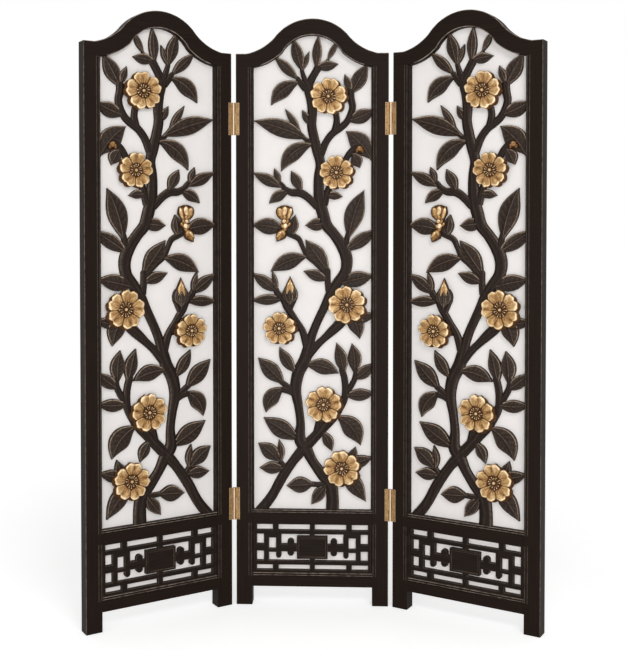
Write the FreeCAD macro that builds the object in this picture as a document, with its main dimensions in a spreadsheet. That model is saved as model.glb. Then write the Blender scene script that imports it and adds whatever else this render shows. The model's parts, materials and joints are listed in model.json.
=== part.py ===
import FreeCAD, Part
import math
import os
import re

# A folding screen of three tall wooden panels joined by brass hinges.
# Each panel has its own frame here: x along its width from its middle, y from
# the front face towards the back, z up from the floor.

Vector = FreeCAD.Vector
UP = Vector(0, 0, 1)
BACK = Vector(0, 1, 0)

doc = FreeCAD.newDocument("folding_screen")
sheet = doc.addObject("Spreadsheet::Sheet", "sizes")

# Driving dimensions, in millimetres and degrees
SIZES = {
    "panel_width": 474,
    "frame_depth": 42,
    "stile_width": 50,
    "stile_height": 1678,
    "shoulder_height": 42,
    "crown_height": 149,
    "crown_depth": 50,
    "foot_clearance": 59,
    "bottom_rail_height": 33,
    "mid_rail_base": 258,
    "mid_rail_height": 32,
    "tenon_length": 24,
    "tenon_thickness": 14,
    "tenon_shoulder": 6,
    "tenon_clearance": 0.1,
    "bead_width": 4,
    "sill_height": 8,
    "bead_recess": 4,
    "carving_recess": 10,
    "carving_depth": 14,
    "flower_height": 7,
    "bud_height": 6,
    "centre_radius": 6,
    "centre_height": 1.5,
    "lattice_recess": 10,
    "medallion_width": 96,
    "medallion_height": 70,
    "medallion_recess": 6,
    "medallion_border": 6,
    "medallion_sink": 2,
    "backing_thickness": 4,
    "strip_width": 12,
    "strip_depth": 8,
    "seam_gap": 12,
    "hinge_offset": 3,
    "hinge_height": 100,
    "upper_hinge_drop": 110,
    "lower_hinge_base": 269,
    "leaf_reach": 11,
    "leaf_thickness": 2,
    "knuckle_radius": 5,
    "knuckle_gap": 0.4,
    "leaf_gap": 0.3,
    "pin_radius": 2.5,
    "pin_clearance": 0.05,
    "screw_inset": 4,
    "screw_radius": 1.6,
    "screw_clearance": 0.1,
    "screw_shank": 1,
    "screw_length": 14,
    "left_fold": 34,
    "right_fold": 28,
}
for row, (alias, value) in enumerate(SIZES.items(), start=1):
    sheet.set("A%d" % row, alias)
    sheet.set("B%d" % row, str(value))
    sheet.setAlias("B%d" % row, alias)
doc.recompute()


def size(alias):
    return float(sheet.get(alias))


def bind(piece, prop, formula):
    """Tie a property to a formula whose words are aliases of the sheet."""
    piece.setExpression(prop, re.sub(r"[a-z_]+", lambda word: "sizes." + word.group(), formula))


def block(low, extent):
    """A box from formulas for its low corner and its three sides."""
    piece = doc.addObject("Part::Box", "block")
    for axis, formula in zip("xyz", low):
        bind(piece, "Placement.Base." + axis, formula)
    for prop, formula in zip(("Length", "Width", "Height"), extent):
        bind(piece, prop, formula)
    return piece


def round_bar(radius, height, place):
    """An upright cylinder from formulas for its size and the foot of its axis."""
    piece = doc.addObject("Part::Cylinder", "round_bar")
    bind(piece, "Radius", radius)
    bind(piece, "Height", height)
    for axis, formula in zip("xyz", place):
        bind(piece, "Placement.Base." + axis, formula)
    return piece


def joined(pieces):
    piece = doc.addObject("Part::MultiFuse", "joined")
    piece.Shapes = pieces
    return piece


def grouped(pieces):
    piece = doc.addObject("Part::Compound", "grouped")
    piece.Links = pieces
    return piece


def pierced(base, tool):
    piece = doc.addObject("Part::Cut", "pierced")
    piece.Base = base
    piece.Tool = tool
    return piece


def carved(shape):
    """A piece whose outline is drawn below from the sheet's values."""
    piece = doc.addObject("Part::Feature", "carved")
    piece.Shape = shape
    return piece


# Heights and widths that several pieces share
half_width = size("panel_width") / 2
stile_inside = half_width - size("stile_width")
opening_half = stile_inside - size("bead_width")
upper_floor = size("mid_rail_base") + size("mid_rail_height") + size("sill_height")
lower_floor = size("foot_clearance") + size("bottom_rail_height") + size("sill_height")
lower_ceiling = size("mid_rail_base")
rail_underside = size("stile_height")
arch_top = rail_underside + size("crown_height")
arch_inside_top = arch_top - size("crown_depth")
carving_back = size("carving_recess") + size("carving_depth")

# Frame of one panel
MORTISE_RAILS = {
    "mid_rail": ("mid_rail_base", "mid_rail_height"),
    "bottom_rail": ("foot_clearance", "bottom_rail_height"),
}
MID_DEPTH = "(frame_depth - tenon_thickness) / 2"


def stile(side):
    """An upright with mortises for two rails and a tenon for the crown."""
    outer = "-panel_width / 2" if side < 0 else "panel_width / 2 - stile_width"
    cut_at = ("stile_width - panel_width / 2 - tenon_length" if side < 0
              else "panel_width / 2 - stile_width")
    post = block((outer, "0", "0"), ("stile_width", "frame_depth", "stile_height"))
    tenon = block(
        (outer + " + tenon_shoulder", MID_DEPTH + " + tenon_clearance", "stile_height - tenon_shoulder"),
        ("stile_width - 2 * tenon_shoulder", "tenon_thickness - 2 * tenon_clearance",
         "tenon_length + tenon_shoulder - tenon_clearance"))
    mortises = []
    for base, height in MORTISE_RAILS.values():
        mortises.append(block((cut_at, MID_DEPTH, base + " + tenon_shoulder"),
                              ("tenon_length", "tenon_thickness", height + " - 2 * tenon_shoulder")))
    return pierced(joined([post, tenon]), joined(mortises))


def rail(name):
    """A cross rail with a tenon at each end."""
    base, height = MORTISE_RAILS[name]
    body = block(("stile_width - panel_width / 2", "0", base),
                 ("panel_width - 2 * stile_width", "frame_depth", height))
    tenon = block(
        ("stile_width - panel_width / 2 - tenon_length + tenon_clearance",
         MID_DEPTH + " + tenon_clearance", base + " + tenon_shoulder + tenon_clearance"),
        ("panel_width - 2 * stile_width + 2 * tenon_length - 2 * tenon_clearance",
         "tenon_thickness - 2 * tenon_clearance",
         height + " - 2 * tenon_shoulder - 2 * tenon_clearance"))
    return joined([body, tenon])


# Shares of the crown's rise and reach where its curve turns and where its hollow is deepest
TURN_RISE = 0.455
HOLLOW_RISE = 0.135
HOLLOW_REACH = 0.52


def arch(shoulder, turn, shoulder_z, crown_z):
    """Outline of the crown: a hollow arc from each shoulder and a round one over the top."""
    rise = crown_z - shoulder_z
    turn_point = Vector(-turn, 0, shoulder_z + TURN_RISE * rise)
    hollow = Vector(-turn - HOLLOW_REACH * (shoulder - turn), 0, shoulder_z + HOLLOW_RISE * rise)
    left = Part.Arc(Vector(-shoulder, 0, shoulder_z), hollow, turn_point).toShape()
    right_turn = Vector(turn, 0, turn_point.z)
    top = Part.Arc(turn_point, Vector(0, 0, crown_z), right_turn).toShape()
    right = Part.Arc(right_turn, Vector(-hollow.x, 0, hollow.z), Vector(shoulder, 0, shoulder_z)).toShape()
    return [left, top, right]


def line(start, end):
    return Part.makeLine(Vector(start[0], 0, start[1]), Vector(end[0], 0, end[1]))


def slab(edges, front, depth):
    """A board cut to a closed outline, from its front's y towards the back."""
    face = Part.Face(Part.Wire(Part.__sortEdges__(edges)))
    face.translate(BACK * front)
    return face.extrude(BACK * depth)


TOP_TURN_SHARE = 0.495
UNDER_TURN_SHARE = 0.51
FLAT_SHOULDER_SHARE = 0.86


def crown_under():
    return arch(opening_half, UNDER_TURN_SHARE * opening_half, rail_underside, arch_inside_top)


def top_rail():
    """The arched crown over both stiles, with a mortise for each stile's tenon."""
    shoulder_z = rail_underside + size("shoulder_height")
    shoulder = FLAT_SHOULDER_SHARE * half_width
    edges = arch(shoulder, TOP_TURN_SHARE * half_width, shoulder_z, arch_top) + crown_under()
    for side in (-1, 1):
        edges.append(line((side * shoulder, shoulder_z), (side * half_width, shoulder_z)))
        edges.append(line((side * half_width, shoulder_z), (side * half_width, rail_underside)))
        edges.append(line((side * half_width, rail_underside), (side * opening_half, rail_underside)))
    rail_shape = slab(edges, 0, size("frame_depth"))
    width = size("stile_width") - 2 * size("tenon_shoulder") + 2 * size("tenon_clearance")
    depth = size("tenon_thickness")
    for side in (-1, 1):
        middle = side * (half_width - size("stile_width") / 2)
        corner = Vector(middle - width / 2, (size("frame_depth") - depth) / 2, rail_underside)
        rail_shape = rail_shape.cut(Part.makeBox(width, depth, size("tenon_length"), corner))
    return carved(rail_shape)


def beading():
    """Strips that line both openings on the front, as six separate sticks."""
    depth = "carving_recess + carving_depth - bead_recess"
    sticks = []
    for base, height in MORTISE_RAILS.values():
        sticks.append(block(("stile_width - panel_width / 2", "bead_recess", base + " + " + height),
                            ("panel_width - 2 * stile_width", depth, "sill_height")))
    spans = {
        "mid_rail_base + mid_rail_height + sill_height":
            "stile_height - mid_rail_base - mid_rail_height - sill_height",
        "foot_clearance + bottom_rail_height + sill_height":
            "mid_rail_base - foot_clearance - bottom_rail_height - sill_height",
    }
    for base, height in spans.items():
        for place in ("stile_width - panel_width / 2", "panel_width / 2 - stile_width - bead_width"):
            sticks.append(block((place, "bead_recess", base), ("bead_width", depth, height)))
    return grouped(sticks)


def backing_strips():
    """Rear strips that hold both backing boards against the beading."""
    rear = "carving_recess + carving_depth + backing_thickness"
    strips = []
    spans = {
        "mid_rail_base + mid_rail_height": "stile_height - mid_rail_base - mid_rail_height",
        "foot_clearance + bottom_rail_height": "mid_rail_base - foot_clearance - bottom_rail_height",
    }
    for base, height in spans.items():
        strips.append(block(("stile_width + strip_width - panel_width / 2", rear, base),
                            ("panel_width - 2 * stile_width - 2 * strip_width", "strip_depth", "strip_width")))
        for place in ("stile_width - panel_width / 2", "panel_width / 2 - stile_width - strip_width"):
            strips.append(block((place, rear, base), ("strip_width", "strip_depth", height)))
    return grouped(strips)


def upper_backing():
    """The pale board behind the carving, arched like the crown's underside."""
    floor = upper_floor - size("sill_height")
    edges = crown_under()
    for side in (-1, 1):
        edges.append(line((side * opening_half, rail_underside), (side * stile_inside, rail_underside)))
        edges.append(line((side * stile_inside, rail_underside), (side * stile_inside, floor)))
    edges.append(line((-stile_inside, floor), (stile_inside, floor)))
    return carved(slab(edges, carving_back, size("backing_thickness")))


def lower_backing():
    return grouped([block(
        ("stile_width - panel_width / 2", "carving_recess + carving_depth",
         "foot_clearance + bottom_rail_height"),
        ("panel_width - 2 * stile_width", "backing_thickness",
         "mid_rail_base - foot_clearance - bottom_rail_height"))])


# Carving of the upper field, drawn on a plan with its own half width, floor and
# top. The plan is stretched to the opening, so the carving follows the frame.
PLAN_HALF = 183
PLAN_FLOOR = 298
PLAN_TOP = 1777
across = opening_half / PLAN_HALF
upwards = (arch_inside_top - upper_floor) / (PLAN_TOP - PLAN_FLOOR)


def plan(x, z):
    return Vector(x * across, 0, upper_floor + (z - PLAN_FLOOR) * upwards)


# Each branch is a run of x, height and width
BRANCHES = [
    [(-164, 290, 34), (-127, 339, 30), (-95, 397, 31), (-58, 452, 29), (-26, 490, 34), (8, 526, 32),
     (37, 559, 32), (65, 586, 27), (86, 615, 22), (100, 645, 22), (103, 674, 21), (101, 707, 21),
     (91, 745, 20)],
    [(63, 292, 41), (63, 340, 39), (56, 378, 39), (30, 409, 34), (2, 447, 30), (-18, 485, 36),
     (-39, 519, 37), (-37, 567, 27), (-43, 620, 27), (-52, 676, 34), (-44, 726, 38), (-25, 764, 38),
     (-14, 801, 34), (-3, 839, 28), (13, 881, 26), (39, 936, 27), (58, 979, 29), (80, 1011, 32),
     (103, 1045, 34), (107, 1085, 37), (92, 1125, 36), (68, 1160, 33), (45, 1188, 35), (34, 1221, 37),
     (24, 1259, 36), (20, 1300, 33), (20, 1340, 30), (25, 1380, 30), (16, 1418, 32), (6, 1458, 30),
     (-2, 1500, 29), (0, 1540, 29), (-5, 1580, 28), (-13, 1612, 26), (-4, 1639, 24), (8, 1661, 23),
     (20, 1682, 24)],
    [(103, 659, 16), (122, 688, 18), (134, 715, 17), (136, 745, 15)],
    [(10, 534, 18), (21, 578, 19), (38, 630, 18)],
    [(-14, 779, 26), (15, 814, 23), (40, 838, 23), (63, 860, 29), (93, 890, 32), (113, 930, 31)],
    [(-17, 806, 23), (-26, 844, 23), (-36, 868, 20), (-52, 892, 19), (-67, 914, 21), (-80, 933, 22),
     (-90, 956, 22), (-108, 975, 20), (-116, 992, 18)],
    [(-70, 920, 11), (-56, 973, 29)],
    [(51, 983, 20), (48, 1016, 19), (48, 1055, 18)],
    [(43, 1035, 12), (10, 1068, 12), (-17, 1093, 14), (-31, 1122, 14), (-44, 1147, 17), (-76, 1163, 17),
     (-97, 1184, 12)],
    [(94, 1105, 22), (105, 1135, 19), (113, 1170, 14)],
    [(36, 1251, 25), (46, 1288, 22), (60, 1321, 20), (80, 1354, 18), (99, 1384, 18), (116, 1412, 20),
     (142, 1436, 22)],
    [(16, 1245, 23), (-14, 1275, 24), (-38, 1289, 26), (-63, 1290, 23), (-84, 1301, 18), (-98, 1318, 13),
     (-110, 1330, 8)],
    [(26, 1408, 24), (43, 1448, 22), (63, 1474, 22), (84, 1489, 22), (104, 1506, 21), (117, 1529, 20),
     (125, 1555, 22), (120, 1583, 23), (120, 1610, 21)],
    [(70, 1480, 23), (76, 1513, 20), (70, 1547, 18), (57, 1585, 14)],
    [(-2, 1610, 24), (-22, 1638, 18), (-35, 1676, 12)],
    [(-20, 1612, 24), (-38, 1632, 18), (-49, 1650, 11)],
    [(-44, 659, 16), (-70, 678, 16), (-104, 703, 17)],
    [(-42, 649, 17), (-72, 668, 18), (-98, 676, 20)],
    [(-80, 422, 17), (-97, 442, 16), (-106, 463, 12)],
    [(44, 375, 14), (21, 376, 15), (-6, 377, 15)],
    [(20, 420, 19), (55, 424, 18), (85, 430, 16), (108, 444, 12)],
    [(-42, 866, 20), (-75, 868, 17), (-103, 866, 14)],
    [(9, 1447, 16), (-21, 1455, 13), (-38, 1478, 9)],
    [(16, 1675, 12), (34, 1689, 10), (52, 1704, 8)],
]

# Each leaf runs from its base to its tip, with its width and how far it bows to its left
LEAVES = [
    ((7, 378), (-81, 372), 50, 0), ((46, 380), (-3, 314), 38, 0), ((84, 433), (168, 324), 52, 4),
    ((-84, 428), (-166, 428), 38, 0), ((-99, 446), (-170, 505), 47, -4), ((-99, 440), (-105, 517), 24, -4),
    ((-38, 516), (-153, 586), 57, 1), ((-85, 680), (-145, 601), 50, -15), ((-85, 690), (-170, 774), 51, 0),
    ((-49, 725), (-103, 808), 37, 4), ((-24, 752), (83, 726), 48, 9), ((73, 592), (151, 500), 62, 16),
    ((29, 546), (62, 481), 34, 4), ((103, 439), (135, 497), 31, -6), ((102, 442), (188, 465), 39, -4),
    ((97, 660), (196, 667), 38, -4), ((126, 706), (192, 760), 37, -4), ((132, 721), (123, 820), 44, -5),
    ((100, 718), (75, 822), 40, -3), ((108, 928), (148, 834), 52, 8), ((104, 915), (199, 915), 38, -12),
    ((81, 1005), (192, 1032), 49, 2), ((-84, 959), (-194, 954), 34, 0), ((-102, 977), (-189, 1040), 38, 0),
    ((-111, 975), (-127, 1047), 18, -3), ((54, 1040), (-22, 1144), 54, 0), ((54, 1017), (-28, 1046), 35, 0),
    ((-13, 1091), (-131, 1044), 52, -9), ((96, 1105), (203, 1176), 42, 0),
    ((112, 1142), (162, 1298), 60, 7), ((-82, 1173), (-190, 1190), 52, -4),
    ((-63, 1151), (-53, 1221), 33, 1), ((52, 1196), (-23, 1188), 40, 1), ((-90, 1305), (-186, 1353), 36, 0),
    ((-99, 1316), (-119, 1366), 21, 0), ((-31, 1292), (-66, 1358), 34, 0),
    ((-70, 1294), (-135, 1256), 34, -6), ((38, 1282), (95, 1277), 27, 2), ((6, 1442), (-97, 1356), 50, -20),
    ((-10, 1454), (-183, 1514), 54, -6), ((-34, 1475), (-85, 1551), 22, 0),
    ((-3, 1495), (-32, 1547), 24, 0), ((184, 1390), (104, 1480), 64, -9), ((124, 1414), (148, 1366), 38, 2),
    ((106, 1512), (194, 1548), 44, -4), ((118, 1592), (172, 1688), 46, 0),
    ((123, 1598), (100, 1657), 24, 0), ((8, 1678), (81, 1688), 32, 0), ((14, 1664), (20, 1780), 30, 2),
    ((46, 1698), (79, 1760), 19, 0), ((-31, 1663), (-60, 1770), 38, 0), ((-32, 1666), (-9, 1728), 18, 0),
    ((-40, 1638), (-119, 1714), 32, 0), ((-38, 1634), (-128, 1562), 48, -14),
]

# Each flower has its middle and its radius
FLOWERS = [(38, 628, 58), (95, 428, 58), (111, 940, 60), (-100, 866, 52), (78, 1351, 54), (53, 1587, 58)]

# Each bud is a cluster of ovals with a middle, half width and half height
BUDS = [
    [(-95, 1230, 20, 21), (-72, 1225, 12, 25), (-90, 1197, 13, 13), (-84, 1180, 17, 16), (-98, 1155, 17, 18)],
    [(-70, 989, 20, 39)],
    [(145, 1424, 17, 15)],
]


def branch(run):
    """A tapering stem between two smooth edges on either side of its run."""
    points = [plan(x, z) for x, z, width in run]
    edges = []
    sides = {1: [], -1: []}
    for place, point in enumerate(points):
        along = points[min(place + 1, len(points) - 1)] - points[max(place - 1, 0)]
        normal = Vector(-along.z, 0, along.x).normalize()
        for side in sides:
            sides[side].append(point + normal * (side * run[place][2] * across / 2))
    for side in sides.values():
        curve = Part.BSplineCurve()
        curve.interpolate(side)
        edges.append(curve.toShape())
    for end in (0, -1):
        edges.append(Part.makeLine(sides[1][end], sides[-1][end]))
    return slab(edges, size("carving_recess"), size("carving_depth"))


def leaf(base, tip, width, bow):
    """A pointed leaf between two arcs."""
    start = plan(*base)
    end = plan(*tip)
    along = end - start
    normal = Vector(-along.z, 0, along.x).normalize()
    middle = (start + end) * 0.5
    edges = []
    for side in (1, -1):
        bulge = middle + normal * ((bow + side * width / 2) * across)
        edges.append(Part.Arc(start, bulge, end).toShape())
    return slab(edges, size("carving_recess"), size("carving_depth"))


def upper_opening():
    edges = crown_under()
    for side in (-1, 1):
        edges.append(line((side * opening_half, rail_underside), (side * opening_half, upper_floor)))
    edges.append(line((-opening_half, upper_floor), (opening_half, upper_floor)))
    return slab(edges, 0, size("frame_depth"))


def oval(x, z, half_x, half_z, front, depth):
    """A round or oval peg standing on the carving."""
    middle = plan(x, z)
    longer = max(half_x, half_z) * across
    ring = Part.Ellipse(middle, longer, min(half_x, half_z) * across)
    ring.Axis = BACK
    ring.XAxis = UP if half_z >= half_x else Vector(1, 0, 0)
    return slab([ring.toShape()], front, depth)


def disc(x, z, radius, front, depth):
    return Part.makeCylinder(radius, depth, Vector(x, front, z), BACK)


PETALS = 5
PETAL_REACH = 0.58
PETAL_RADIUS = 0.42
HEART_RADIUS = 0.5


def flower(x, z, radius):
    """Five round petals about a round heart."""
    middle = plan(x, z)
    front = size("carving_recess") - size("flower_height")
    depth = size("flower_height")
    wide = radius * across
    petals = []
    for petal in range(PETALS):
        angle = math.radians(90 + petal * 360 / PETALS)
        petals.append(disc(middle.x + PETAL_REACH * wide * math.cos(angle),
                           middle.z + PETAL_REACH * wide * math.sin(angle),
                           PETAL_RADIUS * wide, front, depth))
    heart = disc(middle.x, middle.z, HEART_RADIUS * wide, front, depth)
    return heart.multiFuse(petals).removeSplitter()


def one_solid(shapes):
    first, *others = shapes
    return first.multiFuse(others).removeSplitter() if others else first


def carving_shapes():
    """The branch work with its flowers, flower middles and buds, for a panel seen from its front."""
    wood = one_solid([branch(run) for run in BRANCHES] + [leaf(*entry) for entry in LEAVES])
    wood = wood.common(upper_opening())
    flower_front = size("carving_recess") - size("flower_height")
    centres = []
    for x, z, radius in FLOWERS:
        middle = plan(x, z)
        centres.append(disc(middle.x, middle.z, size("centre_radius"),
                            flower_front - size("centre_height"), size("centre_height")))
    buds = []
    for cluster in BUDS:
        buds.append(one_solid([oval(*entry, size("carving_recess") - size("bud_height"), size("bud_height"))
                               for entry in cluster]))
    return {
        "branch_carving": wood,
        "flowers": Part.makeCompound([flower(*entry) for entry in FLOWERS]),
        "flower_centres": Part.makeCompound(centres),
        "buds": Part.makeCompound(buds),
    }


# Fretwork of the lower field, also a drawing that is stretched to the opening:
# its outermost bars lie against the frame

# Bars from side to side: low and high
FRET_BARS = [(98, 106), (122, 135), (220, 233), (251, 258)]
# Bars on both sides of the middle: near and far from it, low and high
FRET_PAIRS = [
    (174, 183, 98, 258), (106, 124, 106, 122), (106, 124, 233, 251), (136, 152, 135, 220),
    (97, 152, 208, 220), (97, 114, 152, 220), (136, 183, 166, 188), (114, 136, 162, 173),
    (40, 114, 164, 188), (57, 78, 161, 195),
]
# Posts in the middle: half width, low and high
FRET_POSTS = [(8, 106, 122), (8, 233, 251), (8, 130, 225)]
# Round ends of bars: distance from the middle, height and radius
FRET_ENDS = [(105.5, 152, 8.5), (67.5, 195, 10.5), (67.5, 161, 10.5)]

fret_half = max(far for near, far, low, high in FRET_PAIRS)
fret_floor = min(low for low, high in FRET_BARS)
fret_ceiling = max(high for low, high in FRET_BARS)
fret_across = opening_half / fret_half
fret_upwards = (lower_ceiling - lower_floor) / (fret_ceiling - fret_floor)


def fret_bar(left, right, low, high):
    corner = Vector(left * fret_across, size("lattice_recess"),
                    lower_floor + (low - fret_floor) * fret_upwards)
    return Part.makeBox((right - left) * fret_across, carving_back - size("lattice_recess"),
                        (high - low) * fret_upwards, corner)


def lattice_shape():
    """The fretwork as one grille, open for the medallion in its middle."""
    bars = [fret_bar(-fret_half, fret_half, low, high) for low, high in FRET_BARS]
    bars += [fret_bar(-half, half, low, high) for half, low, high in FRET_POSTS]
    for near, far, low, high in FRET_PAIRS:
        bars += [fret_bar(near, far, low, high), fret_bar(-far, -near, low, high)]
    for reach, height, radius in FRET_ENDS:
        for side in (-1, 1):
            bars.append(disc(side * reach * fret_across, lower_floor + (height - fret_floor) * fret_upwards,
                             radius * fret_across, size("lattice_recess"),
                             carving_back - size("lattice_recess")))
    low = (lower_floor + lower_ceiling - size("medallion_height")) / 2
    seat = Part.makeBox(size("medallion_width"), size("frame_depth"), size("medallion_height"),
                        Vector(-size("medallion_width") / 2, 0, low))
    return one_solid(bars).cut(seat)


def medallion():
    """The plain block in the middle of the fretwork, sunk inside its border."""
    low = "(foot_clearance + bottom_rail_height + sill_height + mid_rail_base - medallion_height) / 2"
    body = block(("-medallion_width / 2", "medallion_recess", low),
                 ("medallion_width", "carving_recess + carving_depth - medallion_recess",
                  "medallion_height"))
    sunk = block(("medallion_border - medallion_width / 2", "medallion_recess", low + " + medallion_border"),
                 ("medallion_width - 2 * medallion_border", "medallion_sink",
                  "medallion_height - 2 * medallion_border"))
    return pierced(body, sunk)


# Hinges: the leaf on the middle panel has the end knuckles, the leaf on the
# outer panel has the middle one
SCREW_SHARES = (0.04, 0.13, 0.37, 0.63, 0.87, 0.96)
HINGE_BASES = {"upper": "stile_height - upper_hinge_drop - hinge_height", "lower": "lower_hinge_base"}
HINGE_FEET = {
    "upper": size("stile_height") - size("upper_hinge_drop") - size("hinge_height"),
    "lower": size("lower_hinge_base"),
}
AXIS_REACH = "(panel_width + seam_gap) / 2"
END_KNUCKLES = [("0", "hinge_height / 3 - knuckle_gap / 2"),
                ("2 * hinge_height / 3 + knuckle_gap / 2", "hinge_height / 3 - knuckle_gap / 2")]
MIDDLE_KNUCKLE = [("hinge_height / 3 + knuckle_gap / 2", "hinge_height / 3 - knuckle_gap")]


def screw_places(side):
    """Middles of a leaf's screws as x and height above the hinge's foot."""
    across_leaf = half_width - size("leaf_reach") + size("screw_inset")
    return [(side * across_leaf, share * size("hinge_height")) for share in SCREW_SHARES]


def hinge_leaf(side, level, knuckles):
    """A plate on the stile's face with its knuckles round the pin."""
    base = HINGE_BASES[level]
    axis_x = ("-" if side < 0 else "") + AXIS_REACH
    reach = "seam_gap / 2 + leaf_reach - knuckle_radius - leaf_gap"
    plate_x = (axis_x + " + knuckle_radius + leaf_gap" if side < 0
               else axis_x + " - seam_gap / 2 - leaf_reach")
    pieces = [block((plate_x, "-leaf_thickness", base), (reach, "leaf_thickness", "hinge_height"))]
    for start, length in knuckles:
        pieces.append(round_bar("knuckle_radius", length, (axis_x, "-hinge_offset", base + " + " + start)))
        tab_x = axis_x if side < 0 else axis_x + " - knuckle_radius - leaf_gap"
        pieces.append(block((tab_x, "-leaf_thickness", base + " + " + start),
                            ("knuckle_radius + leaf_gap", "leaf_thickness", length)))
    tools = [round_bar("pin_radius + pin_clearance", "hinge_height", (axis_x, "-hinge_offset", base))]
    for x, height in screw_places(side):
        hole = disc(x, HINGE_FEET[level] + height, size("screw_radius") + size("screw_clearance"),
                    -size("leaf_thickness"), size("leaf_thickness"))
        tools.append(carved(hole))
    return pierced(joined(pieces), joined(tools))


def hinge_pin(side, base):
    axis_x = ("-" if side < 0 else "") + AXIS_REACH
    return grouped([round_bar("pin_radius", "hinge_height", (axis_x, "-hinge_offset", base))])


def hinge_screws(sides):
    """Screws of all leaves on one panel, heads level with the leaf."""
    screws = []
    for side in sides:
        for foot in HINGE_FEET.values():
            for x, height in screw_places(side):
                z = foot + height
                head = disc(x, z, size("screw_radius"), -size("leaf_thickness"), size("leaf_thickness"))
                shank = disc(x, z, size("screw_shank"), 0, size("screw_length") - size("leaf_thickness"))
                screws.append(head.fuse(shank))
    return carved(Part.makeCompound(screws))


# Places of the panels: the outer ones turn about the pins
axis_reach = half_width + size("seam_gap") / 2
PANELS = {"left": -1, "centre": 0, "right": 1}
FOLDS = {"left": size("left_fold"), "centre": 0, "right": -size("right_fold")}


def panel_place(panel):
    """Where a panel stands before the whole screen is moved over its origin."""
    side = PANELS[panel]
    turn = FreeCAD.Rotation(UP, FOLDS[panel])
    if not side:
        return FreeCAD.Placement(Vector(), turn)
    pin = Vector(side * axis_reach, -size("hinge_offset"), 0)
    own_pin = Vector(-side * axis_reach, -size("hinge_offset"), 0)
    return FreeCAD.Placement(pin - turn.multVec(own_pin), turn)


corners = []
for panel in PANELS:
    for x in (-half_width, half_width):
        for y in (0, size("frame_depth")):
            corners.append(panel_place(panel).multVec(Vector(x, y, 0)))
middle = Vector((min(c.x for c in corners) + max(c.x for c in corners)) / 2,
                (min(c.y for c in corners) + max(c.y for c in corners)) / 2, 0)

nodes = []


def keep(piece, name, panel):
    """Name a finished sub-part and stand it in its panel's place."""
    place = panel_place(panel)
    place.Base = place.Base - middle
    piece.Label = name
    piece.Placement = place
    nodes.append(piece)


MIRROR_PLANE = Vector(1, 0, 0)
carvings = carving_shapes()
lattice = lattice_shape()

for panel in PANELS:
    keep(stile(-1), panel + "_left_stile", panel)
    keep(stile(1), panel + "_right_stile", panel)
    keep(top_rail(), panel + "_top_rail", panel)
    for name in MORTISE_RAILS:
        keep(rail(name), panel + "_" + name, panel)
    keep(beading(), panel + "_beading", panel)
    keep(upper_backing(), panel + "_upper_backing", panel)
    keep(lower_backing(), panel + "_lower_backing", panel)
    keep(backing_strips(), panel + "_backing_strips", panel)
    for name, shape in carvings.items():
        # The left panel's carving is the mirror image of the other two
        own = shape.mirror(Vector(), MIRROR_PLANE) if panel == "left" else shape.copy()
        keep(carved(own), panel + "_" + name, panel)
    keep(carved(lattice.copy()), panel + "_lattice", panel)
    keep(medallion(), panel + "_medallion", panel)

for level, base in HINGE_BASES.items():
    for panel in ("left", "right"):
        side = PANELS[panel]
        seam = panel + "_" + level
        keep(hinge_leaf(side, level, END_KNUCKLES), seam + "_hinge_inner_leaf", "centre")
        keep(hinge_leaf(-side, level, MIDDLE_KNUCKLE), seam + "_hinge_outer_leaf", panel)
        keep(hinge_pin(side, base), seam + "_hinge_pin", "centre")
for panel, sides in {"left": [1], "centre": [-1, 1], "right": [-1]}.items():
    keep(hinge_screws(sides), panel + "_hinge_screws", panel)

doc.recompute()
for piece in doc.Objects:
    if {"Invalid", "Error"} & set(piece.State):
        raise RuntimeError("not built: " + piece.Label)
for piece in nodes:
    if piece.Shape.isNull() or not piece.Shape.isValid():
        raise RuntimeError("shape is not whole: " + piece.Label)

os.makedirs("parts", exist_ok=True)
for piece in nodes:
    piece.Shape.exportStep("parts/" + piece.Label + ".step")
print(len(nodes), "sub-parts")
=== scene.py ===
import json
import math

import bmesh
import bpy
from mathutils import Matrix, Vector, noise


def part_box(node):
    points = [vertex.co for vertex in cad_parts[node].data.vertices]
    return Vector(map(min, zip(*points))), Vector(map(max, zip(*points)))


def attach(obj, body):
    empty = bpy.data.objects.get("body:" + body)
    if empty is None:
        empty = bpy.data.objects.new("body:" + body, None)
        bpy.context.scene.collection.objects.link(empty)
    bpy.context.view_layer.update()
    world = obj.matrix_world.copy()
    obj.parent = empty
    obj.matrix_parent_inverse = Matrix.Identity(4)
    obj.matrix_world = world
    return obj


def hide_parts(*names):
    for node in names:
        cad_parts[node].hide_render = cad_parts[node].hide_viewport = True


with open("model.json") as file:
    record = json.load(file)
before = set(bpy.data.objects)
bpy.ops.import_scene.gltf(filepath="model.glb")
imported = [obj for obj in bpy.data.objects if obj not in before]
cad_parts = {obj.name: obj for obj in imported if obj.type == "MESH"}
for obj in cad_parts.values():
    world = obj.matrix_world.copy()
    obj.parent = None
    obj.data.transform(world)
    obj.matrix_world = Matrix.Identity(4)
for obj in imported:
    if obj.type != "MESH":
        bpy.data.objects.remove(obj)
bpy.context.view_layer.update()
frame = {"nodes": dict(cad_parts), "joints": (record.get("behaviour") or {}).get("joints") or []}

# A folding screen of three carved panels. Each panel has its own frame: x along its
# width from its middle, y from the front face towards the back, z up from the floor.
# Sizes are in millimetres on a panel, as on the drawings of the part.
MM = 0.001
PANELS = ("left", "centre", "right")
BODIES = {panel: panel + "_panel" for panel in PANELS}
PANEL_HALF = 237
FRAME_DEPTH = 42
PIN_REACH = 243
HINGE_OFFSET = 3
LEAF_REACH = 11
STILE_INSIDE = 187
BEAD_WIDTH = 4
SILL_HEIGHT = 8
REED_WIDTH = 14
UPPER_SILL = 290
RAIL_UNDERSIDE = 1678
LOWER_SILL = 92
MID_RAIL_UNDERSIDE = 258
OPENING_HALF = STILE_INSIDE - BEAD_WIDTH
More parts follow.
